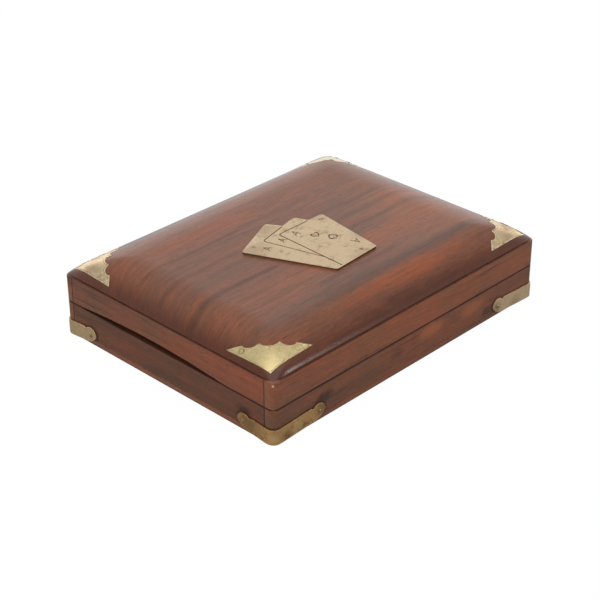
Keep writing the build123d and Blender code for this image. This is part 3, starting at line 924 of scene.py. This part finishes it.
# brass pieces; spots are given as place and radius in millimetres, and amount
inlayShape = {
    "lift": 0.12 * mm,      # proud of the wood
    "longest": 2.0 * mm,
    "atEdge": 3.0 * mm,
    "bevel": 0.18 * mm,
    "rim": 0.6 * mm,
    "groove": 0.27 * mm,
    "depth": 0.1 * mm,      # of the groove
    "clearOfPins": 1.1 * mm,
}
mountEase = 0.14 * mm
fanEase = 0.12 * mm
brassLook = {
    "inlay": {
        "front_left": brassOf(
            (0.86, 0.71, 0.36, 1), (0.86, 0.66, 0.38, 1), 0.3,
            pinDirt=[((-78.5, -41.7, 32.9), 1.7, 2.6)], dark=(0.08, 0.045, 0.02, 1),
        ),
        "front_right": brassOf(
            (0.88, 0.69, 0.42, 1), (0.84, 0.61, 0.38, 1), 0.75,
            tarnished=(0.40, 0.25, 0.15, 1),
            stains=[((76, -52, 32), 7.0, 0.7), ((70, -58, 32), 5.0, 0.5), ((79, -44, 32), 3.0, 0.7)],
        ),
        "back_left": brassOf(
            (0.90, 0.72, 0.46, 1), (0.88, 0.64, 0.44, 1), 0.6,
            tarnished=(0.42, 0.27, 0.15, 1),
            stains=[((-76, 52, 32), 6.0, 0.6), ((-70, 57, 32), 4.0, 0.5), ((-78, 44, 32), 3.5, 0.6)],
        ),
        "back_right": brassOf((0.74, 0.66, 0.50, 1), (0.74, 0.62, 0.48, 1), 0.4),
    },
    # the near inlay's rim is painted a little paler: rubbed brass and a painted highlight of its edge
    "nearRim": brassOf((0.88, 0.73, 0.38, 1), (0.86, 0.68, 0.40, 1), 0.3),
    "nearGroove": brassOf((0.80, 0.65, 0.33, 1), (0.78, 0.60, 0.33, 1), 0.4),
    # the other inlays' rims are painted pale: rubbed brass and a painted highlight of their edges
    "inlayRim": brassOf((0.96, 0.84, 0.58, 1), (0.95, 0.78, 0.55, 1), 0.1),
    "inlayGroove": brassOf((0.36, 0.24, 0.14, 1), (0.30, 0.18, 0.10, 1), 0.6),
    "fan": brassOf(
        (0.71, 0.56, 0.35, 1), (0.68, 0.47, 0.32, 1), 0.7,
        tarnished=(0.38, 0.26, 0.15, 1),
        stains=[
            ((-24, 8, 37), 13.0, 0.5), ((18, 12, 37), 8.0, 0.45),
            ((8, -34, 37), 14.0, 0.5), ((20, -16, 37), 8.0, 0.4),
        ],
        # none this far below the top, all this far below it, amount, colour
        sunkenDirt=(0.03, 0.12, 0.8, (0.17, 0.10, 0.06, 1)),
    ),
    "mount": {
        "front_left": brassOf(
            (0.86, 0.54, 0.22, 1), (0.76, 0.40, 0.18, 1), 0.8,
            tarnished=(0.22, 0.11, 0.05, 1), dullness=0.04, bright=(1.0, 0.72, 0.36, 1),
            stains=[
                ((-83, -50, 5), 11.0, 0.6), ((-56, -63.5, 6), 6.0, 0.5), ((-76, -63.5, 2), 4.0, 0.6),
            ],
            rubbed=[((-83, -63.5, 3), 3.2, 0.7), ((-70, -63.5, 5), 5.0, 0.35)],
        ),
        "front_right": brassOf(
            (1.0, 0.76, 0.47, 1), (1.0, 0.70, 0.44, 1), 0.35,
            tarnished=(0.52, 0.34, 0.18, 1), dullness=0.04,
            stains=[((56, -63.5, 4), 5.0, 0.7), ((70, -63.5, 1), 6.0, 0.5)],
        ),
        "back_left": brassOf(
            (0.84, 0.62, 0.35, 1), (0.80, 0.53, 0.30, 1), 0.5,
            tarnished=(0.38, 0.28, 0.13, 1), dullness=0.06,
        ),
        "back_right": brassOf(
            (0.66, 0.48, 0.25, 1), (0.60, 0.40, 0.22, 1), 0.6,
            tarnished=(0.22, 0.13, 0.06, 1), dullness=0.06,
        ),
    },
    "hinge": brassOf((0.60, 0.46, 0.24, 1), (0.6, 0.42, 0.26, 1), 0.45),
    "inlayPin": brassOf((0.86, 0.71, 0.36, 1), (0.86, 0.66, 0.38, 1), 0.3),
    "nail": brassOf((0.46, 0.34, 0.19, 1), (0.40, 0.27, 0.16, 1), 0.7),
}
nearTrim = [
    brassMaterial("near_groove_brass", brassLook["nearGroove"], 23),
    brassMaterial("near_rim_brass", brassLook["nearRim"], 22),
]
otherTrim = [
    brassMaterial("inlay_groove_brass", brassLook["inlayGroove"], 24),
    brassMaterial("inlay_rim_brass", brassLook["inlayRim"], 21),
]

for index, corner in enumerate(("front_left", "front_right", "back_left", "back_right")):
    plate = brassMaterial("inlay_brass_" + corner, brassLook["inlay"][corner], index)
    trim = nearTrim if corner == "front_left" else otherTrim
    inlay = refined("lid_inlay_" + corner, "lid", [plate] + trim, inlayShape)
    strip = brassMaterial("mount_brass_" + corner, brassLook["mount"][corner], index + 5)
    mount = softened("base_mount_" + corner, mountEase, "base", strip)

fanMarks = {
    "depth": 0.16,          # millimetres
    "over": 0.3,            # how far the cutters stand out of the brass
    "stroke": 0.42,
    "strokeOverrun": 0.3,   # share of the stroke's width past each end
    "hollow": 0.62,         # share of a pip that stays uncut inside
    "letters": [
        # place, height, turn in degrees
        ((0.5, 5.6), 4.0, 0.0),
        ((13.7, -18.6), 4.0, 180.0),
        ((-8.2, 5.2), 3.6, 14.0),
        ((-18.2, 4.4), 3.6, 24.0),
    ],
    "pips": [
        # suit, place, height, turn in degrees
        ("heart", (5.4, -1.8), 4.6, 0.0),
        ("spade", (9.4, -8.2), 5.0, 0.0),
        ("diamond", (-6.2, -22.6), 2.2, 0.0),
        ("diamond", (-21.3, 9.6), 2.0, 24.0),
        ("heart", (18.0, 6.4), 2.2, 0.0),
        ("club", (9.6, -25.0), 2.4, 180.0),
    ],
}


def strokeOutline(start, end, width):
    along = Vector(end) - Vector(start)
    side = Vector((-along.y, along.x)).normalized() * width / 2
    more = along.normalized() * width * fanMarks["strokeOverrun"]
    a, b = Vector(start) - more, Vector(end) + more
    return [a - side, b - side, b + side, a + side]


def pipOutlines(suit):
    # closed outlines in a square of height 1
    def disc(x, y, radius=0.22, count=14):
        turns = [2 * math.pi * i / count for i in range(count)]
        return [(x + radius * math.cos(turn), y + radius * math.sin(turn)) for turn in turns]

    def heart(sign, count=24):
        points = []
        for i in range(count):
            t = 2 * math.pi * i / count
            height = (13 * math.cos(t) - 5 * math.cos(2 * t) - 2 * math.cos(3 * t) - math.cos(4 * t)) / 30
            points.append((0.5 * math.sin(t) ** 3, sign * height))
        return points

    stem = [(-0.14, -0.5), (0.14, -0.5), (0.04, -0.1), (-0.04, -0.1)]
    return {
        "heart": [heart(1)],
        "spade": [heart(-1), stem],
        "club": [disc(0, 0.27), disc(-0.25, -0.08), disc(0.25, -0.08), stem],
        "diamond": [[(0, 0.5), (-0.36, 0), (0, -0.5), (0.36, 0)]],
    }[suit]


def letterOutlines(height):
    # a letter A of three strokes
    half, top = height * 0.36, height / 2
    barHalf, bar = half * 0.6, -top * 0.3
    ends = [((-half, -top), (0, top)), ((half, -top), (0, top)), ((-barHalf, bar), (barHalf, bar))]
    return [strokeOutline(a, b, fanMarks["stroke"]) for a, b in ends]


def markOutlines():
    # every mark as an outline and the share of it that stays uncut inside
    marks = [
        (letterOutlines(height), place, 1.0, turn, 0.0)
        for place, height, turn in fanMarks["letters"]
    ]
    for suit, place, height, turn in fanMarks["pips"]:
        marks.append((pipOutlines(suit), place, height, turn, fanMarks["hollow"]))
    for shape, place, size, turn, hollow in marks:
        spin = Matrix.Rotation(math.radians(turn), 2)
        for outline in shape:
            yield [spin @ (Vector(point) * size) + Vector(place) for point in outline], hollow


def cutMarks(piece, top):
    # each mark is a shallow cut with an upright wall, made one after another
    for outline, hollow in markOutlines():
        area = sum(a.x * b.y - b.x * a.y for a, b in zip(outline, outline[1:] + outline[:1]))
        ring = outline if area > 0 else outline[::-1]
        count = len(ring)
        middle = sum(ring, Vector((0, 0))) / count
        inner = [middle + (p - middle) * hollow for p in ring] if hollow else []
        levels = (top - fanMarks["depth"] * mm, top + fanMarks["over"] * mm)
        points = [(p.x * mm, p.y * mm, level) for level in levels for p in ring + inner]
        after = [(i, (i + 1) % count) for i in range(count)]
        if hollow:
            upper = 2 * count
            faces = [(i, j, upper + j, upper + i) for i, j in after]
            faces += [(count + j, count + i, upper + count + i, upper + count + j) for i, j in after]
            faces += [(j, i, count + i, count + j) for i, j in after]
            faces += [(upper + i, upper + j, upper + count + j, upper + count + i) for i, j in after]
        else:
            faces = [(i, j, count + j, count + i) for i, j in after]
            faces += [tuple(range(count))[::-1], tuple(range(count, 2 * count))]
        mesh = bpy.data.meshes.new("mark")
        mesh.from_pydata(points, [], faces)
        cutter = newObject("mark", mesh)
        cut = piece.modifiers.new("cut", "BOOLEAN")
        cut.operation = "DIFFERENCE"
        cut.solver = "EXACT"
        cut.object = cutter
        applyModifiers(piece)
        bpy.data.objects.remove(cutter)
        bpy.data.meshes.remove(mesh)
    piece.data.polygons.foreach_set("use_smooth", [False] * len(piece.data.polygons))


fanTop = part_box("card_fan_plate")[1].z
fanBrass = brassMaterial("fan_brass", brassLook["fan"], 11, fanTop / mm)
fan = softened("card_fan_plate", fanEase, "lid", fanBrass)
cutMarks(fan, fanTop)
hingeBrass = brassMaterial("hinge_brass", brassLook["hinge"], 12)
for nodeName in nodes:
    if nodeName.startswith("hinge_"):
        dress(nodes[nodeName], hingeBrass)
dress(nodes["mount_nails"], brassMaterial("pin_brass", brassLook["nail"], 13))
dress(nodes["inlay_pins"], brassMaterial("inlay_pin_brass", brassLook["inlayPin"], 14))
print("brass dressed")


# felt
feltLook = {
    "colour": (0.035, 0.13, 0.075, 1),
    "fleck": (0.08, 0.22, 0.13, 1),
    "roughness": 0.95,
    "sheen": 0.35,
    "fuzz": 0.25 * mm,
    "cell": 3 * mm,         # of the mesh
    "thickness": 0.9,       # share of the CAD sheet's, for room to lift
    "lift": 0.06 * mm,
    "raggedRim": 0.25 * mm,
    "rimDrop": 0.12 * mm,
    "glue": 0.02 * mm,
}


def makeFeltMaterial():
    material, shader, position = newMaterial("green_felt")
    fuzz = cloud(position, 3.2, 4.0, 0.7)
    drift = cloud(position, 0.06, 3.0, 0.6)
    colour = blendColour(remap(fuzz, 0.3, 0.75), feltLook["colour"], feltLook["fleck"])
    shaded = multiplied(colour, remap(drift, 0.3, 0.7, 0.75, 1.15))
    coatShader(
        shader, shaded, feltLook["roughness"], fuzz, feltLook["fuzz"], 0.8,
        Sheen_Weight=feltLook["sheen"], Sheen_Roughness=0.5,
    )
    return material


feltMaterial = makeFeltMaterial()
felts = {
    # node: body, what it is glued to, which way its nap faces
    "felt_left_well": ("base", "base_bottom_eased", 1),
    "felt_right_well": ("base", "base_bottom_eased", 1),
    "felt_tray": ("base", "base_bottom_eased", 1),
    "felt_lid": ("lid", "lid_top_board_curved", -1),
}


def feltSheet(nodeName, body, carrier, nap):
    look = feltLook
    low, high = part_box(nodeName)
    sizeX, sizeY, sizeZ = high - low
    back = low.z if nap > 0 else high.z
    countX, countY = (max(2, round(size / look["cell"])) for size in (sizeX, sizeY))
    work = bmesh.new()
    grid = []
    for j in range(countY + 1):
        row = []
        for i in range(countX + 1):
            x = low.x + sizeX * i / countX
            y = low.y + sizeY * j / countY
            height = sizeZ * look["thickness"] + noise.noise(Vector((x * 90, y * 90, 3.1))) * look["lift"]
            inset = noise.noise(Vector((x * 260, y * 260, 7.7))) * look["raggedRim"]
            if i in (0, countX) or j in (0, countY):
                height -= look["rimDrop"]
                x += max(0.0, inset) if i == 0 else -abs(inset) if i == countX else 0.0
                y += abs(inset) if j == 0 else -abs(inset) if j == countY else 0.0
            row.append(work.verts.new((x, y, back + nap * height)))
        grid.append(row)
    for j in range(countY):
        for i in range(countX):
            quad = (grid[j][i], grid[j][i + 1], grid[j + 1][i + 1], grid[j + 1][i])
            work.faces.new(quad if nap > 0 else quad[::-1])
    # turned down at the rim, to the board it is glued to
    rim = [e for e in work.edges if e.is_boundary]
    skirt = bmesh.ops.extrude_edge_only(work, edges=rim)["geom"]
    for vert in (g for g in skirt if isinstance(g, bmesh.types.BMVert)):
        vert.co.z = back + nap * look["glue"]
    bmesh.ops.recalc_face_normals(work, faces=work.faces)
    mesh = bpy.data.meshes.new(nodeName + "_cloth")
    work.to_mesh(mesh)
    work.free()
    smoothByAngle(mesh, 40)
    piece = newObject(nodeName + "_cloth", mesh)
    dress(piece, feltMaterial)
    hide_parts(nodeName)
    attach(piece, body)


for nodeName, (body, carrier, nap) in felts.items():
    feltSheet(nodeName, body, carrier, nap)
print("felt laid")


# floor and light
studio = {
    "floorReach": 6.0,
    "floorDrop": 0.02 * mm,
    "floorColour": (0.86, 0.86, 0.86, 1),
    "floorGlow": 0.955,     # share of plain white that the camera sees over the lit floor
    "glowStrength": 1.02,
    "floorReflected": (0.32, 1.2),      # under the box and far behind it
    "ambient": 0.5,
    "reflected": (0.27, 1.2),           # all round, and the backdrop behind the box
    "lamps": {
        # name: place, aim, width, height, watts
        "overheadSoftbox": ((-0.1, -0.1, 1.3), (0, 0, 0), 1.3, 1.3, 5.7),
        "frontSoftbox": ((0.57, -0.60, 0.82), (-0.05, -0.06, 0.03), 0.09, 0.16, 0.6),
        "leftSoftbox": ((-1.3, 0.2, 0.2), (0, 0, 0.02), 0.7, 0.35, 3.5),
    },
}


def behindTheBox(direction):
    # how far a direction or a place lies toward the backdrop
    return vectorCalc("DOT_PRODUCT", direction, (0.707, 0.707, 0.0))


def makeFloor():
    mesh = bpy.data.meshes.new("floor")
    reach = studio["floorReach"]
    corners = [(-reach, -reach, 0), (reach, -reach, 0), (reach, reach, 0), (-reach, reach, 0)]
    mesh.from_pydata(corners, [], [(0, 1, 2, 3)])
    floor = newObject("floor", mesh)
    floor.location.z = -studio["floorDrop"]
    material = bpy.data.materials.new("floor_paper")
    tree = emptyTree(material)
    path = put(tree, "LightPath").outputs
    away = behindTheBox(put(tree, "TexCoord").outputs["Object"])
    bright = remap(away, 0.04, 0.3, *studio["floorReflected"], True)
    white = (1, 1, 1, 1)
    lit = put(tree, "BsdfDiffuse", None, {"Color": studio["floorColour"]}).outputs[0]
    glow = put(tree, "Emission", None, {"Color": white, "Strength": studio["glowStrength"]}).outputs[0]
    dim = put(tree, "Emission", None, {"Color": white, "Strength": bright}).outputs[0]
    share = times(path["Is Camera Ray"], studio["floorGlow"])
    seen = put(tree, "MixShader", None, {0: share, 1: lit, 2: glow}).outputs[0]
    mixed = put(tree, "MixShader", None, {0: path["Is Glossy Ray"], 1: seen, 2: dim}).outputs[0]
    put(tree, "OutputMaterial", None, {"Surface": mixed})
    mesh.materials.append(material)


def makeWorld():
    world = bpy.data.worlds.new("studio")
    bpy.context.scene.world = world
    tree = emptyTree(world)
    path = put(tree, "LightPath").outputs
    direction = put(tree, "TexCoord").outputs["Generated"]
    low = fade(splitVector(direction)[2], 0.74, 0.42)
    facing = fade(behindTheBox(direction), 0.0, 0.5)
    sheen = remap(times(low, facing), 0, 1, *studio["reflected"])
    ambient = (studio["ambient"],) * 3 + (1,)
    unseen = blendColour(path["Is Glossy Ray"], ambient, grey(sheen))
    seen = larger(path["Is Camera Ray"], path["Is Transmission Ray"])
    light = put(tree, "Background", None, {"Color": blendColour(seen, unseen, (1, 1, 1, 1))})
    put(tree, "OutputWorld", None, {"Surface": light.outputs[0]})


def hangLamps():
    for name, (spot, aim, width, height, watts) in studio["lamps"].items():
        data = bpy.data.lights.new(name, "AREA")
        data.shape = "RECTANGLE"
        data.size = width
        data.size_y = height
        data.energy = watts
        lamp = newObject(name, data)
        lamp.location = spot
        lamp.rotation_euler = (Vector(aim) - Vector(spot)).to_track_quat("-Z", "Y").to_euler()


makeFloor()
makeWorld()
hangLamps()
print("studio lit")
